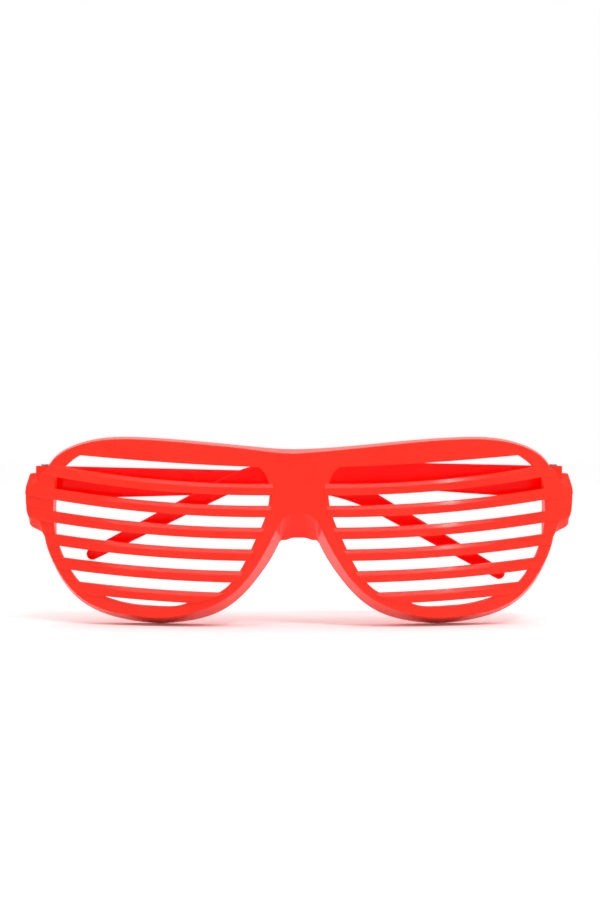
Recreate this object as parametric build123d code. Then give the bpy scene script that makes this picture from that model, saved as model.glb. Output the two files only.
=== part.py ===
from build123d import *
from build123d.topology import SkipClean
import math
import os

# Slatted novelty glasses, folded, standing on the lower edges of the front.
# X runs across the face, Y runs back from the front, Z is up. Millimetres.
# The wearer's right is at the lower X, the wearer's left at the higher X.

# Front moulding, overall
rim_half_width = 70.5
rim_width = 3.7
front_height = 50.7
face_thickness = 2.0
wall = 1.7
face_plan_radius = 165.0
rear_plan_radius = 260.0
nose_depth = 11.5

# Slats and the window that they cross. The top edges of the highest and of the
# lowest slat are set from the top and the bottom of the front, at the nose.
window_half_width = rim_half_width - rim_width
slat_height = 3.0
slat_count = 6
brow_height = 12.5
low_slat_top = 9.25
slat_top = front_height - brow_height
slat_pitch = (slat_top - low_slat_top) / (slat_count - 1)
high_sweep_radius = 335.0
low_sweep_radius = 525.0
slat_level_x = 10.0
window_inner_x = 7.8

# The slats stand proud of the rim, run out over it and lap over its inner side.
# Their faces slope back above a crease, nearly to the depth of the rim's face.
slat_proud = 0.5
slope_height = 1.1
slope_depth = 0.45
slope_sections = 8
slat_lap = 1.0
slat_run_out_x = 40.0

# End lugs that carry the hinges
lug_reach = 4.4
lug_height = 19.6
lug_rear_y = 21.1
lug_draft_depth = 3.7
lug_half_width = rim_half_width + lug_reach
lug_draft_y = lug_rear_y - lug_draft_depth

# Hinge: two knuckles on the front, one on the arm, and a pin
pin_radius = 0.7
pin_head_radius = 1.15
pin_head_height = 0.45
pin_inset = 4.7
pin_setback = 2.4
hinge_drop = 12.6
pin_x = lug_half_width - pin_inset
pin_y = lug_rear_y + pin_setback
hinge_z = front_height - hinge_drop
knuckle_radius = 1.8
arm_knuckle_height = 2.8
front_knuckle_height = 3.2
knuckle_end_clearance = 0.15
pin_running_clearance = 0.05
boss_margin = 0.8
boss_depth = 3.1
boss_inner_x = pin_x - knuckle_radius - boss_margin

# Arms
arm_thickness = 2.6
arm_gap_to_pin = 2.0
arm_butt_clearance = 0.35
arm_butt_height = 9.4
arm_bend_height = 5.3
arm_tip_height = 3.2
arm_straight_length = 82.0
ear_length = 54.0
ear_angle = 29.5
ear_bend_radius = 45.0
arm_edge_chamfer = 0.5
tip_round_share = 0.49
arm_tilt = 1.3
square_turn = 90.0
fold_bias = 1.5

# Overrun of a cutting body past what it cuts
overrun = 5.0

# Width of the strips that the front is put together from, face by face
strip_width = 30.0

# Half outline of the front, from the middle of the brow round to the nose arch.
# Each row holds the front edge and then the rear edge, as shares of the rim's
# half width and of the front's height.
outline_shares = [
    (0.000, 0.913, 0.000, 0.936),
    (0.187, 0.935, 0.191, 0.952),
    (0.376, 0.962, 0.384, 0.978),
    (0.596, 0.986, 0.607, 1.000),
    (0.738, 0.984, 0.749, 0.998),
    (0.851, 0.953, 0.865, 0.963),
    (0.936, 0.891, 0.950, 0.897),
    (0.982, 0.789, 0.994, 0.789),
    (0.987, 0.611, 1.000, 0.611),
    (0.979, 0.444, 0.991, 0.434),
    (0.945, 0.325, 0.959, 0.314),
    (0.894, 0.215, 0.909, 0.197),
    (0.823, 0.128, 0.840, 0.105),
    (0.723, 0.073, 0.738, 0.039),
    (0.582, 0.050, 0.596, 0.005),
    (0.468, 0.051, 0.478, 0.000),
    (0.362, 0.089, 0.369, 0.026),
    (0.257, 0.166, 0.262, 0.095),
    (0.176, 0.282, 0.162, 0.227),
    (0.128, 0.389, 0.111, 0.335),
    (0.094, 0.485, 0.084, 0.404),
    (0.060, 0.564, 0.058, 0.442),
    (0.031, 0.594, 0.031, 0.460),
    (0.000, 0.600, 0.000, 0.463),
]

# Side and lower edge of one window, from its outer top corner round to its
# inner top corner, as shares of the window's half width and the front's height.
window_side_shares = [
    (0.888, 0.903),
    (0.949, 0.845),
    (0.985, 0.785),
    (0.998, 0.690),
    (0.998, 0.542),
    (0.975, 0.414),
    (0.928, 0.292),
    (0.876, 0.213),
    (0.775, 0.150),
    (0.665, 0.118),
    (0.564, 0.110),
    (0.464, 0.119),
    (0.430, 0.137),
    (0.397, 0.155),
    (0.326, 0.181),
    (0.238, 0.292),
    (0.171, 0.467),
    (0.139, 0.562),
    (0.117, 0.688),
    (0.125, 0.783),
    (0.160, 0.842),
]
window_top_shares = [
    (0.160, 0.842),
    (0.397, 0.855),
    (0.599, 0.872),
    (0.888, 0.903),
]

# Outline of the wearer's right lug: its top from the rim outwards, its outer
# end, and its underside back to the rim. Each row holds the face edge and then
# the rear edge, as shares of the lug's reach past the rim, and of its height
# above or below the hinge.
lug_top_shares = [
    (-0.856, 0.245, -0.856, 0.144),
    (-0.408, 0.214, -0.408, 0.144),
    (0.024, 0.082, 0.024, 0.144),
    (0.472, -0.017, 0.472, 0.144),
    (0.936, -0.037, 0.808, 0.133),
]
lug_end_shares = [
    (0.936, -0.037, 0.808, 0.133),
    (1.000, -0.159, 0.888, -0.107),
    (0.856, -0.418, 0.808, -0.490),
]
lug_foot_shares = [
    (0.856, -0.418, 0.808, -0.490),
    (0.680, -0.477, 0.680, -0.612),
    (0.168, -0.516, 0.360, -0.651),
    (0.008, -0.565, 0.168, -0.674),
    (-0.184, -0.695, -0.056, -0.707),
    (-0.856, -0.754, -0.856, -0.733),
]


def face_y(x):
    """Depth of the front's outer face at a distance x from the middle."""
    return face_plan_radius - math.sqrt(face_plan_radius**2 - x**2)


def rear_y(x):
    """Depth of the flange's rear edge at a distance x from the middle."""
    return nose_depth + rear_plan_radius - math.sqrt(rear_plan_radius**2 - x**2)


def both_halves(points):
    """Closed ring of points from those of one half, the two middle ones once."""
    mirrored = [(-x, z) for x, z in reversed(points[1:-1])]
    return points + mirrored


def inset(points, amount):
    """Closed ring of points moved inwards, square to the run beside each."""
    moved = []
    for i, (x, z) in enumerate(points):
        x0, z0 = points[i - 1]
        x1, z1 = points[(i + 1) % len(points)]
        run = math.hypot(x1 - x0, z1 - z0)
        moved.append((x + amount * (z1 - z0) / run, z - amount * (x1 - x0) / run))
    return moved


def drafted_body(inward):
    """Solid between the front and rear outlines, its walls leaning outwards."""
    half = rim_half_width
    tall = front_height
    front_ring = inset(both_halves([(a * half, b * tall) for a, b, c, d in outline_shares]), inward)
    rear_ring = inset(both_halves([(c * half, d * tall) for a, b, c, d in outline_shares]), inward)
    low_y = -overrun
    high_y = lug_rear_y + overrun
    low_points = []
    high_points = []
    for (xf, zf), (xr, zr) in zip(front_ring, rear_ring):
        yf = face_y(xf)
        yr = rear_y(xr)
        lean_x = (xr - xf) / (yr - yf)
        lean_z = (zr - zf) / (yr - yf)
        low_points.append((xf + lean_x * (low_y - yf), low_y, zf + lean_z * (low_y - yf)))
        high_points.append((xr + lean_x * (high_y - yr), high_y, zr + lean_z * (high_y - yr)))
    low_wire = Wire([Spline(*low_points, periodic=True)])
    high_wire = Wire([Spline(*high_points, periodic=True)])
    return Solid.make_loft([low_wire, high_wire], ruled=True)


def plan_cylinder(radius, centre_y):
    """Upright cylinder whose near side gives the front its curve in plan."""
    height = front_height + 2 * overrun
    return Pos(0, centre_y, front_height / 2) * Cylinder(radius, height)


def slat_z(index, drop, x):
    """Height of a slat at x, a drop below its top edge, swept up from the nose."""
    radius = high_sweep_radius + (low_sweep_radius - high_sweep_radius) * index / (slat_count - 1)
    sweep = radius - math.sqrt(radius**2 - (x - slat_level_x) ** 2)
    return slat_top - index * slat_pitch - drop + sweep


def slat_arc(index, drop, x0, x1):
    """Line along a slat, a drop below its top edge."""
    return ThreePointArc(*[(x, 0, slat_z(index, drop, x)) for x in (x0, (x0 + x1) / 2, x1)])


def window_face():
    """One window's outline in the plane of the front."""
    wide = window_half_width
    tall = front_height
    side = Spline(*[(a * wide, 0, b * tall) for a, b in window_side_shares])
    top = Spline(*[(a * wide, 0, b * tall) for a, b in window_top_shares])
    return make_face(side + top)


def lapped_window():
    """One window widened by the slats' lap, and open towards the lug."""
    wide = window_half_width
    tall = front_height
    ring = [(a * wide, b * tall) for a, b in window_side_shares + window_top_shares[1:-1]]
    grown = [(x, 0, z) for x, z in inset(ring, -slat_lap)]
    run_out = make_face(
        Polyline(
            (slat_run_out_x, 0, -overrun),
            (slat_run_out_x, 0, tall),
            (lug_half_width + overrun, 0, tall),
            (lug_half_width + overrun, 0, -overrun),
            close=True,
        )
    )
    return make_face(Spline(*grown, periodic=True)) + run_out


def slat_band(index, x0, x1):
    """Area that one slat covers, seen from the front."""
    upper = slat_arc(index, 0, x0, x1)
    lower = slat_arc(index, slat_height, x0, x1)
    ends = Line(upper @ 0, lower @ 0) + Line(upper @ 1, lower @ 1)
    return make_face(upper + lower + ends)


def sunk_region():
    """Area of the whole front that the raised slats leave free."""
    wide = lug_half_width + overrun
    region = lapped_window()
    free = make_face(
        Polyline(
            (-wide, 0, -overrun),
            (-wide, 0, front_height + overrun),
            (wide, 0, front_height + overrun),
            (wide, 0, -overrun),
            close=True,
        )
    )
    areas = []
    for index in range(slat_count):
        area = slat_band(index, slat_lap, wide + overrun) & region
        areas.append(area)
        areas.append(mirror(area, about=Plane.YZ))
    return free - areas


def slot_bodies():
    """Cutting bodies of one window's slots, between the slats."""
    window = window_face()
    inner = window_inner_x - overrun
    outer = window_half_width + overrun
    bodies = []
    for index in range(slat_count + 1):
        upper = slat_arc(index - 1, slat_height, inner, outer)
        lower = slat_arc(index, 0, inner, outer)
        if index == 0:
            upper = slat_arc(0, -brow_height, inner, outer)
        if index == slat_count:
            lower = slat_arc(slat_count - 1, slat_top, inner, outer)
        ends = Line(upper @ 0, lower @ 0) + Line(upper @ 1, lower @ 1)
        opening = make_face(upper + lower + ends) & window
        bodies.append(extrude(opening, amount=lug_rear_y + overrun, dir=(0, 1, 0), both=True))
    return bodies


def slat_slope(index):
    """Cutting body that slopes the upper part of one slat's face."""
    outer = lug_half_width + overrun
    sections = []
    for step in range(slope_sections + 1):
        x = slat_lap + (outer - slat_lap) * step / slope_sections
        y = face_plan_radius - math.sqrt((face_plan_radius + slat_proud) ** 2 - x**2)
        crease_z = slat_z(index, slope_height, x)
        top_z = slat_z(index, 0, x)
        section = [
            (x, y, crease_z),
            (x, y + slope_depth, top_z),
            (x, y + slope_depth, top_z + slat_lap),
            (x, y - overrun, top_z + slat_lap),
            (x, y - overrun, crease_z),
        ]
        sections.append(Wire.make_polygon(section, close=True))
    return Solid.make_loft(sections)


def lug_wire(rows, y):
    """Closed outline of the right lug at a depth y, from rows of (x, z) shares."""
    lines = []
    for row in rows:
        points = [(-rim_half_width - a * lug_reach, y, hinge_z + b * lug_height) for a, b in row]
        lines.append(Spline(*points))
    top, end, foot = lines
    return Wire([top, end, foot, Line(foot @ 1, top @ 0)])


def lug_body():
    """End lug of the wearer's right side, taller at its rear than at its face."""
    tables = (lug_top_shares, lug_end_shares, lug_foot_shares)
    face_rows = [[(row[0], row[1]) for row in table] for table in tables]
    rear_rows = [[(row[2], row[3]) for row in table] for table in tables]
    face_wire = lug_wire(face_rows, lug_draft_y)
    drafted = Solid.make_loft([face_wire, lug_wire(rear_rows, lug_rear_y)], ruled=True)
    straight = extrude(Face(face_wire), amount=2 * overrun, dir=(0, -1, 0))
    return drafted + straight


def block(x0, x1, y0, y1, z0, z1):
    """Box between two corners."""
    centre = Pos((x0 + x1) / 2, (y0 + y1) / 2, (z0 + z1) / 2)
    return centre * Box(x1 - x0, y1 - y0, z1 - z0)


def right_hinge_seat():
    """Boss and two pierced knuckles behind the right lug."""
    inner_end = arm_knuckle_height / 2 + knuckle_end_clearance
    reach = inner_end + front_knuckle_height
    seat = block(
        -pin_x - knuckle_radius,
        -boss_inner_x,
        lug_rear_y - boss_depth,
        lug_rear_y,
        hinge_z - reach,
        hinge_z + reach,
    )
    for side in (-1, 1):
        z = hinge_z + side * (inner_end + front_knuckle_height / 2)
        barrel = Pos(-pin_x, pin_y, z) * Cylinder(knuckle_radius, front_knuckle_height)
        web = block(
            -pin_x - knuckle_radius,
            -pin_x + knuckle_radius,
            lug_rear_y - face_thickness,
            pin_y,
            z - front_knuckle_height / 2,
            z + front_knuckle_height / 2,
        )
        seat = seat + barrel + web
    return seat


def pin_body():
    """Right hinge pin with its low head on the upper knuckle."""
    stack = arm_knuckle_height + 2 * (front_knuckle_height + knuckle_end_clearance)
    shank = Pos(-pin_x, pin_y, hinge_z) * Cylinder(pin_radius, stack)
    head_z = hinge_z + stack / 2 + pin_head_height / 2
    head = Pos(-pin_x, pin_y, head_z) * Cylinder(pin_head_radius, pin_head_height)
    return shank + head


def in_strips(body):
    """The same body parted at upright planes, so that no curved face is long."""
    count = math.ceil(body.bounding_box().size.X / strip_width)
    first = -count / 2 * strip_width
    pieces = []
    for index in range(count):
        left = first + index * strip_width
        room = block(left, left + strip_width, -overrun, lug_half_width, -overrun, lug_half_width)
        pieces = pieces + (body & room).solids()
    return pieces


def front_body():
    """The whole one-piece front: face, slats, flange, lugs and knuckles."""
    curve = plan_cylinder(face_plan_radius, face_plan_radius)
    raised = plan_cylinder(face_plan_radius + slat_proud, face_plan_radius)
    hollow = plan_cylinder(face_plan_radius - face_thickness, face_plan_radius)
    behind = plan_cylinder(rear_plan_radius, nose_depth + rear_plan_radius)
    inner = drafted_body(wall)
    outer = drafted_body(0) & raised
    lug = lug_body() & raised
    seat = right_hinge_seat() & curve
    pieces = in_strips(outer - hollow) + in_strips(outer - inner - behind)
    pieces = pieces + lug.solids() + mirror(lug, about=Plane.YZ).solids()
    pieces = pieces + seat.solids() + mirror(seat, about=Plane.YZ).solids()
    with SkipClean():
        front = pieces[0].fuse(*pieces[1:])
    bore = Cylinder(pin_radius, front_height)
    sunk = extrude(sunk_region(), amount=lug_rear_y + overrun, dir=(0, 1, 0), both=True) - curve
    half_cuts = slot_bodies() + [slat_slope(index) for index in range(slat_count)]
    cuts = sunk.solids() + half_cuts + [mirror(cut, about=Plane.YZ) for cut in half_cuts]
    cuts = cuts + [Pos(side * pin_x, pin_y, hinge_z) * bore for side in (-1, 1)]
    with SkipClean():
        return front.cut(*cuts)


def arm_profile(tilt):
    """Side view of an arm, seen in the plane of its length and height."""
    butt_u = lug_rear_y + arm_butt_clearance - pin_y
    top = hinge_z + arm_butt_height / 2
    bottom = hinge_z - arm_butt_height / 2
    down = math.radians(ear_angle)
    tip_u = arm_straight_length + ear_length * math.cos(down)
    tip_z = top - ear_length * math.sin(down)
    across_u = arm_tip_height * math.sin(down)
    across_z = arm_tip_height * math.cos(down)
    points = [
        (butt_u, bottom),
        (butt_u, top),
        (arm_straight_length, top),
        (tip_u, tip_z),
        (tip_u - across_u, tip_z - across_z),
        (arm_straight_length - arm_bend_height * math.sin(down / 2), top - arm_bend_height),
    ]
    face = make_face(Polyline(*points, close=True))
    corners = face.vertices()
    bends = [v for v in corners if abs(v.X - arm_straight_length) < arm_bend_height]
    face = fillet(bends, ear_bend_radius)
    ends = face.vertices().sort_by(Axis.X)[-2:]
    face = fillet(ends, arm_tip_height * tip_round_share)
    turn = Pos(0, hinge_z) * Rot(0, 0, tilt) * Pos(0, -hinge_z)
    return turn * face


def open_arm(tilt):
    """Wearer's right arm as it stands when open, straight back from its hinge."""
    thick = extrude(arm_profile(tilt), amount=arm_thickness)
    thick = chamfer(thick.edges().filter_by(Axis.Z, reverse=True), arm_edge_chamfer)
    outer_x = -pin_x - arm_gap_to_pin - arm_thickness
    stand = Plane(origin=(outer_x, pin_y, 0), x_dir=(0, 1, 0), z_dir=(1, 0, 0))
    blade = stand * thick
    centre = Pos(-pin_x, pin_y, hinge_z)
    barrel = centre * Cylinder(knuckle_radius, arm_knuckle_height)
    web = block(
        -pin_x - arm_gap_to_pin - arm_edge_chamfer,
        -pin_x,
        pin_y - knuckle_radius,
        pin_y + knuckle_radius,
        hinge_z - arm_knuckle_height / 2,
        hinge_z + arm_knuckle_height / 2,
    )
    bore = centre * Cylinder(pin_radius + pin_running_clearance, front_height)
    return blade + barrel + web - bore


def folded(arm, turn):
    """Arm turned about the right hinge pin, clockwise seen from above."""
    return Pos(-pin_x, pin_y) * Rot(0, 0, -turn) * Pos(pin_x, -pin_y) * arm


right_pin = pin_body()
right_arm = folded(open_arm(-arm_tilt), square_turn - fold_bias)
left_arm = mirror(folded(open_arm(arm_tilt), square_turn + fold_bias), about=Plane.YZ)
nodes = {
    "front_frame": front_body(),
    "temple_right": right_arm,
    "temple_left": left_arm,
    "hinge_pin_right": right_pin,
    "hinge_pin_left": mirror(right_pin, about=Plane.YZ),
}

# The origin is set under the middle of the folded glasses, on the surface.
boxes = [body.bounding_box() for body in nodes.values()]
near_y = min(box.min.Y for box in boxes)
far_y = max(box.max.Y for box in boxes)
low_z = min(box.min.Z for box in boxes)
shift = Pos(0, -(near_y + far_y) / 2, -low_z)
os.makedirs("parts", exist_ok=True)
for name, body in nodes.items():
    placed = shift * body
    export_step(placed, f"parts/{name}.step")
    box = placed.bounding_box()
    print(name, len(placed.solids()), round(placed.volume, 1), box.min, box.max)
print("hinge axis at", pin_x, pin_y + shift.position.Y, "height", hinge_z + shift.position.Z)
print("shift", shift.position)
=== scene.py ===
"""Looks of the slatted novelty glasses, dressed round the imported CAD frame."""
import logging
import math
from dataclasses import dataclass, field
from enum import Enum

import bmesh
import bpy
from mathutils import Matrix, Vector


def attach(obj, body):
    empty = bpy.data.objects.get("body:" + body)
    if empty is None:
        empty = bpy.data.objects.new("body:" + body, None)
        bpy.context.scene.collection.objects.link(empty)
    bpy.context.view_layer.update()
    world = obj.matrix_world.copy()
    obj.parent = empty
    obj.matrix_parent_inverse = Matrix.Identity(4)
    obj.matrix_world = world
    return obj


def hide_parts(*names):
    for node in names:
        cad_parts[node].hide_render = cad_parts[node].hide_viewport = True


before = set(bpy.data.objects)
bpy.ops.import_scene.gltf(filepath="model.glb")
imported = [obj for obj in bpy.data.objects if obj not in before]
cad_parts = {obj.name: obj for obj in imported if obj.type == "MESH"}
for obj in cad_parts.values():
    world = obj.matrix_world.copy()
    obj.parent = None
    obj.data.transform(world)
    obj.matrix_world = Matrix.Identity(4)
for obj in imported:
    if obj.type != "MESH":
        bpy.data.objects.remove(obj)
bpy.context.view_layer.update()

logging.basicConfig(level=logging.INFO, format="%(message)s")
log = logging.getLogger("glasses")

MM = 0.001
Colour = tuple[float, float, float, float]
Triple = tuple[float, float, float]


class Body(Enum):
    """Moving bodies of the glasses."""

    FRONT = "front"
    LEFT_ARM = "left_arm"
    RIGHT_ARM = "right_arm"


class Slot(Enum):
    """Material slots of the record."""

    FRONT = "front_plastic"
    ARM = "arm_plastic"
    PIN = "hinge_pin"


def srgb(red: int, green: int, blue: int) -> Colour:
    """Gives the linear colour of an 8-bit display colour.

    Args:
        red: Red channel, 0 to 255.
        green: Green channel, 0 to 255.
        blue: Blue channel, 0 to 255.

    Returns:
        Linear red, green, blue and an alpha of one.
    """
    def linear(value: int) -> float:
        """Linear value of one channel."""
        share = value / 255
        return share / 12.92 if share <= 0.04045 else ((share + 0.055) / 1.055) ** 2.4

    return linear(red), linear(green), linear(blue), 1.0


def principled(name: str) -> tuple[bpy.types.Material, bpy.types.Node]:
    """Makes a node material with one Principled shader at its output.

    Args:
        name: Name of the material.

    Returns:
        The material and its shader node.
    """
    mat = bpy.data.materials.new(name)
    mat.use_nodes = True
    tree = mat.node_tree
    tree.nodes.clear()
    out = tree.nodes.new("ShaderNodeOutputMaterial")
    shader = tree.nodes.new("ShaderNodeBsdfPrincipled")
    tree.links.new(shader.outputs["BSDF"], out.inputs["Surface"])
    return mat, shader


def noise(tree: bpy.types.NodeTree, place: bpy.types.NodeSocket, scale: float,
          detail: float) -> bpy.types.NodeSocket:
    """Adds a noise texture.

    Args:
        tree: Node tree that gets the node.
        place: Socket with the coordinates.
        scale: Scale of the noise.
        detail: Number of finer layers in it.

    Returns:
        Socket with the noise, about 0 to 1.
    """
    node = tree.nodes.new("ShaderNodeTexNoise")
    node.inputs["Scale"].default_value = scale
    node.inputs["Detail"].default_value = detail
    tree.links.new(place, node.inputs["Vector"])
    return node.outputs["Fac"]


def swing(tree: bpy.types.NodeTree, source: bpy.types.NodeSocket, low: float,
          spread: float) -> bpy.types.NodeSocket:
    """Adds a node that turns noise into a value that swings between two limits.

    Args:
        tree: Node tree that gets the node.
        source: Socket with the noise.
        low: Lower limit.
        spread: Distance from the lower to the upper limit.

    Returns:
        Socket with the value.
    """
    node = tree.nodes.new("ShaderNodeMapRange")
    node.inputs["To Min"].default_value = low
    node.inputs["To Max"].default_value = low + spread
    tree.links.new(source, node.inputs["Value"])
    return node.outputs["Result"]


def plain_rays(tree: bpy.types.NodeTree) -> bpy.types.NodeSocket:
    """Adds nodes that tell the rays on which the studio looks plain white.

    Args:
        tree: Node tree that gets the nodes.

    Returns:
        Socket that is one on camera, glossy and transmission rays, else zero.
    """
    rays = tree.nodes.new("ShaderNodeLightPath")
    reach = rays.outputs["Is Camera Ray"]
    for kind in ("Is Glossy Ray", "Is Transmission Ray"):
        either = tree.nodes.new("ShaderNodeMath")
        either.operation = "MAXIMUM"
        tree.links.new(reach, either.inputs[0])
        tree.links.new(rays.outputs[kind], either.inputs[1])
        reach = either.outputs["Value"]
    return reach


@dataclass(frozen=True)
class NeonPlastic:
    """Glossy, slightly translucent neon moulding compound.

    The shade drifts a little from place to place, as pigment does in a cheap
    moulding, and the gloss is broken by a faint flow pattern. The gloss is a thin
    clear skin over the colour, and scatter is the share of light that spreads
    inside the plastic. Where edge_round isn't zero, the shading rounds every edge
    by that radius, for a moulding whose steps are too low for a round in its mesh.
    """

    name: str
    shade: Colour
    deep: Colour
    edge_round: float = 0.0
    edge_samples: int = 8
    skin: float = 0.4
    refraction: float = 1.5
    scatter: float = 0.6
    scatter_reach: float = 3.0 * MM
    scatter_shares: Triple = (1.0, 0.25, 0.15)
    roughness: float = 0.09
    roughness_swing: float = 0.07
    cloud_scale: float = 60.0
    cloud_detail: float = 3.0
    deep_until: float = 0.35
    shade_from: float = 0.65
    flow_scale: float = 420.0
    flow_detail: float = 2.0
    flow_bump: float = 0.05
    flow_depth: float = 0.05 * MM

    def material(self) -> bpy.types.Material:
        """Builds the node material of the plastic.

        Returns:
            The new material.
        """
        mat, shader = principled(self.name)
        tree = mat.node_tree
        shader.inputs["IOR"].default_value = self.refraction
        shader.inputs["Specular IOR Level"].default_value = 0.0
        shader.inputs["Subsurface Weight"].default_value = self.scatter
        shader.inputs["Subsurface Radius"].default_value = self.scatter_shares
        shader.inputs["Subsurface Scale"].default_value = self.scatter_reach
        shader.inputs["Coat Weight"].default_value = self.skin
        place = tree.nodes.new("ShaderNodeTexCoord").outputs["Object"]
        self.tint(shader, place)
        self.polish(shader, place)
        return mat

    def tint(self, shader: bpy.types.Node, place: bpy.types.NodeSocket) -> None:
        """Adds the colour that drifts between the two shades.

        Args:
            shader: Shader that gets the colour.
            place: Socket with the object's coordinates.
        """
        tree = shader.id_data
        drift = tree.nodes.new("ShaderNodeValToRGB")
        low, high = drift.color_ramp.elements
        low.position, low.color = self.deep_until, self.deep
        high.position, high.color = self.shade_from, self.shade
        cloud = noise(tree, place, self.cloud_scale, self.cloud_detail)
        tree.links.new(cloud, drift.inputs["Fac"])
        tree.links.new(drift.outputs["Color"], shader.inputs["Base Color"])

    def polish(self, shader: bpy.types.Node, place: bpy.types.NodeSocket) -> None:
        """Adds the skin's gloss, its flow pattern and the rounded edges.

        Args:
            shader: Shader that gets them.
            place: Socket with the object's coordinates.
        """
        tree = shader.id_data
        flow = noise(tree, place, self.flow_scale, self.flow_detail)
        gloss = swing(tree, flow, self.roughness, self.roughness_swing)
        tree.links.new(gloss, shader.inputs["Coat Roughness"])
        bump = tree.nodes.new("ShaderNodeBump")
        bump.inputs["Strength"].default_value = self.flow_bump
        bump.inputs["Distance"].default_value = self.flow_depth
        tree.links.new(flow, bump.inputs["Height"])
        tree.links.new(bump.outputs["Normal"], shader.inputs["Normal"])
        tree.links.new(bump.outputs["Normal"], shader.inputs["Coat Normal"])
        if self.edge_round:
            rounded = tree.nodes.new("ShaderNodeBevel")
            rounded.samples = self.edge_samples
            rounded.inputs["Radius"].default_value = self.edge_round
            tree.links.new(rounded.outputs["Normal"], bump.inputs["Normal"])


@dataclass(frozen=True)
class PinSteel:
    """Drawn steel of the hinge pins, with fine lines along the wire."""

    name: str = "hinge_pin_steel"
    shade: Colour = field(default_factory=lambda: srgb(166, 166, 171))
    roughness: float = 0.28
    roughness_swing: float = 0.2
    line_scale: float = 6000.0
    line_detail: float = 2.0
    line_stretch: Triple = (1.0, 1.0, 0.05)

    def material(self) -> bpy.types.Material:
        """Builds the node material of the steel.

        Returns:
            The new material.
        """
        mat, shader = principled(self.name)
        tree = mat.node_tree
        shader.inputs["Metallic"].default_value = 1.0
        shader.inputs["Base Color"].default_value = self.shade
        place = tree.nodes.new("ShaderNodeTexCoord")
        stretch = tree.nodes.new("ShaderNodeMapping")
        stretch.inputs["Scale"].default_value = self.line_stretch
        tree.links.new(place.outputs["Object"], stretch.inputs["Vector"])
        lines = noise(tree, stretch.outputs["Vector"], self.line_scale, self.line_detail)
        gloss = swing(tree, lines, self.roughness, self.roughness_swing)
        tree.links.new(gloss, shader.inputs["Roughness"])
        return mat


def deselect() -> None:
    """Leaves nothing selected."""
    bpy.ops.object.select_all(action="DESELECT")


def pick(obj: bpy.types.Object) -> None:
    """Makes one object the only selected and the active one.

    Args:
        obj: Object to pick.
    """
    deselect()
    obj.select_set(True)
    bpy.context.view_layer.objects.active = obj


def dress(obj: bpy.types.Object, mat: bpy.types.Material) -> None:
    """Gives obj one material and no other."""
    obj.data.materials.clear()
    obj.data.materials.append(mat)


def joined_copy(node: str, name: str, merge: float = 0.01 * MM) -> bpy.types.Object:
    """Copies a CAD node and joins its loose triangles at their corners.

    The normals that came with the loose triangles are cleared, as they no longer
    fit once corners are joined.

    Args:
        node: Name of the CAD node.
        name: Name of the new piece.
        merge: Distance under which corners are one, in metres.

    Returns:
        The new object, at the origin.
    """
    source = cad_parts[node]
    piece = bpy.data.objects.new(name, source.data.copy())
    bpy.context.scene.collection.objects.link(piece)
    pick(piece)
    bpy.ops.object.mode_set(mode="EDIT")
    bpy.ops.mesh.select_all(action="SELECT")
    bpy.ops.mesh.remove_doubles(threshold=merge)
    bpy.ops.mesh.dissolve_degenerate(threshold=merge)
    bpy.ops.object.mode_set(mode="OBJECT")
    bpy.ops.mesh.customdata_custom_splitnormals_clear()
    return piece


def smooth_by_angle(piece: bpy.types.Object, angle: float = 18.0) -> None:
    """Shades a piece smooth except over its sharp edges.

    Args:
        piece: Object to shade.
        angle: Angle in degrees from which an edge stays sharp.
    """
    pick(piece)
    bpy.ops.object.shade_smooth_by_angle(angle=math.radians(angle))
    even = piece.modifiers.new("even normals", "WEIGHTED_NORMAL")
    even.keep_sharp = True
    bpy.ops.object.modifier_apply(modifier=even.name)


@dataclass(frozen=True)
class EdgeRounds:
    """How wide a piece's sharp edges are rounded in its mesh."""

    width: float
    segments: int = 3
    from_angle: float = 40.0
    shortest: float = 0.02 * MM

    def apply(self, piece: bpy.types.Object) -> None:
        """Rounds a piece's sharp edges and shades the rest smooth.

        Args:
            piece: Object whose mesh is rounded.
        """
        mesh = bmesh.new()
        mesh.from_mesh(piece.data)
        weights = mesh.edges.layers.float.new("bevel_weight_edge")
        limit = math.radians(self.from_angle)
        for edge in mesh.edges:
            keen = len(edge.link_faces) == 2 and edge.calc_face_angle(0.0) > limit
            if keen and edge.calc_length() > self.shortest:
                edge[weights] = 1.0
        mesh.to_mesh(piece.data)
        mesh.free()
        pick(piece)
        bevel = piece.modifiers.new("edge rounds", "BEVEL")
        bevel.width = self.width
        bevel.segments = self.segments
        bevel.limit_method = "WEIGHT"
        bevel.use_clamp_overlap = False
        bpy.ops.object.modifier_apply(modifier=bevel.name)
        smooth_by_angle(piece, self.from_angle)


@dataclass
class Front:
    """One-piece moulded front with slats, flange, lugs and knuckles."""

    finish: NeonPlastic

    def build(self) -> bpy.types.Object:
        """Builds the front's visible shell round its CAD node.

        Returns:
            The new shell.
        """
        shell = joined_copy("front_frame", "front_shell")
        smooth_by_angle(shell)
        dress(shell, self.finish.material())
        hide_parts("front_frame")
        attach(shell, Body.FRONT.value)
        return shell


@dataclass
class Arm:
    """One folded arm with its knuckle."""

    node: str
    name: str
    body: Body
    finish: NeonPlastic
    rounds: EdgeRounds = EdgeRounds(0.135 * MM)

    def build(self) -> bpy.types.Object:
        """Builds the arm's visible shell round its CAD node.

        Returns:
            The new shell.
        """
        shell = joined_copy(self.node, self.name)
        self.rounds.apply(shell)
        dress(shell, self.finish.material())
        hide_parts(self.node)
        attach(shell, self.body.value)
        return shell


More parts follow.
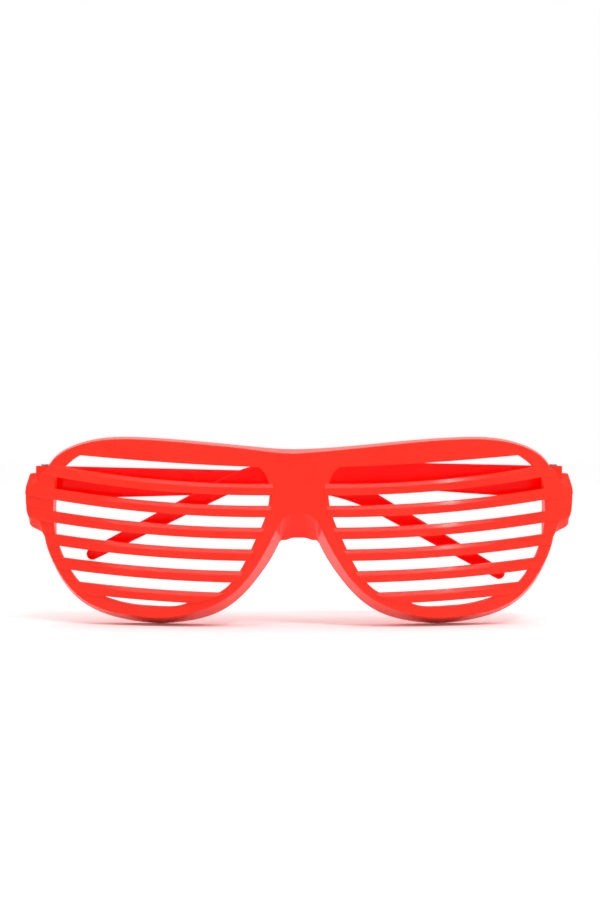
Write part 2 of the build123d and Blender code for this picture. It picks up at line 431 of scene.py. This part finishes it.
@dataclass
class HingePin:
    """Steel pin with a low head."""

    node: str
    name: str
    finish: PinSteel
    rounds: EdgeRounds = EdgeRounds(0.11 * MM)

    def build(self) -> bpy.types.Object:
        """Builds the pin's visible shell round its CAD node.

        Returns:
            The new shell.
        """
        shell = joined_copy(self.node, self.name)
        self.rounds.apply(shell)
        dress(shell, self.finish.material())
        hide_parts(self.node)
        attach(shell, Body.FRONT.value)
        return shell


@dataclass(frozen=True)
class Lamp:
    """Soft lamp aimed at the middle of the front.

    Its place, its sides and what it aims at are in metres, its power in watts. A
    gloss_only lamp shows in gloss and lights nothing, and the others light and
    don't show in gloss.
    """

    name: str
    place: Triple
    sides: tuple[float, float]
    power: float
    gloss_only: bool = False
    target: Triple = (0.0, 0.0, 0.025)

    def build(self) -> bpy.types.Object:
        """Adds the lamp.

        Returns:
            The lamp.
        """
        data = bpy.data.lights.new(self.name, "AREA")
        data.shape = "RECTANGLE"
        data.size, data.size_y = self.sides
        data.energy = self.power
        lamp = bpy.data.objects.new(self.name, data)
        lamp.location = self.place
        lamp.visible_diffuse = not self.gloss_only
        lamp.visible_glossy = self.gloss_only
        aim = Vector(self.target) - Vector(self.place)
        lamp.rotation_euler = aim.to_track_quat("-Z", "Y").to_euler()
        bpy.context.scene.collection.objects.link(lamp)
        return lamp


LAMPS = (
    Lamp("key", (0.35, -0.58, 0.8), (0.14, 0.14), 2.4),
    Lamp("middle", (-0.01, -0.5, 0.95), (0.12, 0.12), 1.1),
    Lamp("strip", (0.0, -0.84, 0.78), (1.6, 0.2), 3.8, gloss_only=True),
    Lamp("glint", (0.466, -0.64, 0.678), (0.04, 0.1), 0.45, gloss_only=True),
)


@dataclass
class Studio:
    """White floor, soft light and the photograph's viewpoint.

    Straight ahead of the glasses the surroundings are dim, up to where a
    direction's Y is dim_until, and from bright_from on they are bright.
    """

    distance: float = 500.0 * MM
    eye_height: float = 47.062 * MM
    eye_x: float = 0.264 * MM
    half_view: float = 79.26 * MM
    face_plane: float = -15.5353 * MM
    near_clip: float = 0.01
    far_clip: float = 50.0
    floor_half: float = 6.0
    floor_white: float = 0.97
    floor_lift: float = 0.05
    dim_until: float = -0.95
    bright_from: float = -0.35
    dim_level: float = 0.35
    bright_level: float = 1.05
    lamps: tuple[Lamp, ...] = LAMPS

    def camera(self) -> None:
        """Adds the level camera straight in front of the bridge."""
        data = bpy.data.cameras.new("viewpoint")
        data.sensor_fit = "HORIZONTAL"
        data.angle = 2 * math.atan(self.half_view / self.distance)
        data.clip_start = self.near_clip
        data.clip_end = self.far_clip
        camera = bpy.data.objects.new("viewpoint", data)
        camera.location = (self.eye_x, self.face_plane - self.distance, self.eye_height)
        camera.rotation_euler = (math.radians(90), 0.0, 0.0)
        bpy.context.scene.collection.objects.link(camera)
        bpy.context.scene.camera = camera

    def floor(self) -> None:
        """Adds the matt white floor that takes the soft shadow."""
        deselect()
        bpy.ops.mesh.primitive_plane_add(size=2 * self.floor_half, location=(0, 0, 0))
        floor = bpy.context.active_object
        floor.name = "floor"
        mat = bpy.data.materials.new("floor_white")
        mat.use_nodes = True
        tree = mat.node_tree
        tree.nodes.clear()
        out = tree.nodes.new("ShaderNodeOutputMaterial")
        matt = tree.nodes.new("ShaderNodeBsdfDiffuse")
        matt.inputs["Color"].default_value = (*[self.floor_white] * 3, 1.0)
        lift = tree.nodes.new("ShaderNodeEmission")
        seen = tree.nodes.new("ShaderNodeMath")
        seen.operation = "MULTIPLY"
        seen.inputs[1].default_value = self.floor_lift
        tree.links.new(plain_rays(tree), seen.inputs[0])
        tree.links.new(seen.outputs["Value"], lift.inputs["Strength"])
        both = tree.nodes.new("ShaderNodeAddShader")
        tree.links.new(matt.outputs["BSDF"], both.inputs[0])
        tree.links.new(lift.outputs["Emission"], both.inputs[1])
        tree.links.new(both.outputs["Shader"], out.inputs["Surface"])
        floor.data.materials.append(mat)

    def world(self) -> None:
        """Adds surroundings that are bright above and behind, dimmer in front.

        The camera, and what gloss and clear pieces show of the surroundings, get
        plain white, as in a white studio.
        """
        world = bpy.data.worlds.new("studio_white")
        bpy.context.scene.world = world
        world.use_nodes = True
        tree = world.node_tree
        tree.nodes.clear()
        out = tree.nodes.new("ShaderNodeOutputWorld")
        glow = tree.nodes.new("ShaderNodeBackground")
        glow.inputs["Color"].default_value = (1.0, 1.0, 1.0, 1.0)
        way = tree.nodes.new("ShaderNodeTexCoord")
        parts = tree.nodes.new("ShaderNodeSeparateXYZ")
        tree.links.new(way.outputs["Generated"], parts.inputs["Vector"])
        ahead = tree.nodes.new("ShaderNodeMapRange")
        ahead.interpolation_type = "SMOOTHSTEP"
        ahead.inputs["From Min"].default_value = self.dim_until
        ahead.inputs["From Max"].default_value = self.bright_from
        ahead.inputs["To Min"].default_value = self.dim_level
        ahead.inputs["To Max"].default_value = self.bright_level
        tree.links.new(parts.outputs["Y"], ahead.inputs["Value"])
        pick_white = tree.nodes.new("ShaderNodeMix")
        pick_white.data_type = "FLOAT"
        pick_white.inputs["B"].default_value = 1.0
        tree.links.new(plain_rays(tree), pick_white.inputs["Factor"])
        tree.links.new(ahead.outputs["Result"], pick_white.inputs["A"])
        tree.links.new(pick_white.outputs["Result"], glow.inputs["Strength"])
        tree.links.new(glow.outputs["Background"], out.inputs["Surface"])

    def build(self) -> None:
        """Sets up the camera, the floor and the light."""
        self.camera()
        self.floor()
        self.world()
        for lamp in self.lamps:
            lamp.build()
        bpy.context.scene.view_settings.view_transform = "Standard"


def main() -> None:
    """Builds the glasses piece by piece, then the studio."""
    front = NeonPlastic("front_neon", srgb(255, 48, 27), srgb(253, 42, 21),
                        edge_round=0.35 * MM)
    # The arms are the front's plastic with painted shade: a deeper, darker red stands in
    # for the shade they lie in behind the front.
    arm = NeonPlastic("arm_neon_painted_shade", srgb(252, 10, 6), srgb(248, 3, 3), skin=0.25)
    steel = PinSteel()
    parts = [
        Front(front),
        Arm("temple_left", "temple_left_shell", Body.LEFT_ARM, arm),
        Arm("temple_right", "temple_right_shell", Body.RIGHT_ARM, arm),
        HingePin("hinge_pin_left", "hinge_pin_left_shell", steel),
        HingePin("hinge_pin_right", "hinge_pin_right_shell", steel),
    ]
    for part in parts:
        piece = part.build()
        log.info("%s: %d faces", piece.name, len(piece.data.polygons))
    Studio().build()


if __name__ == "__main__":
    main()
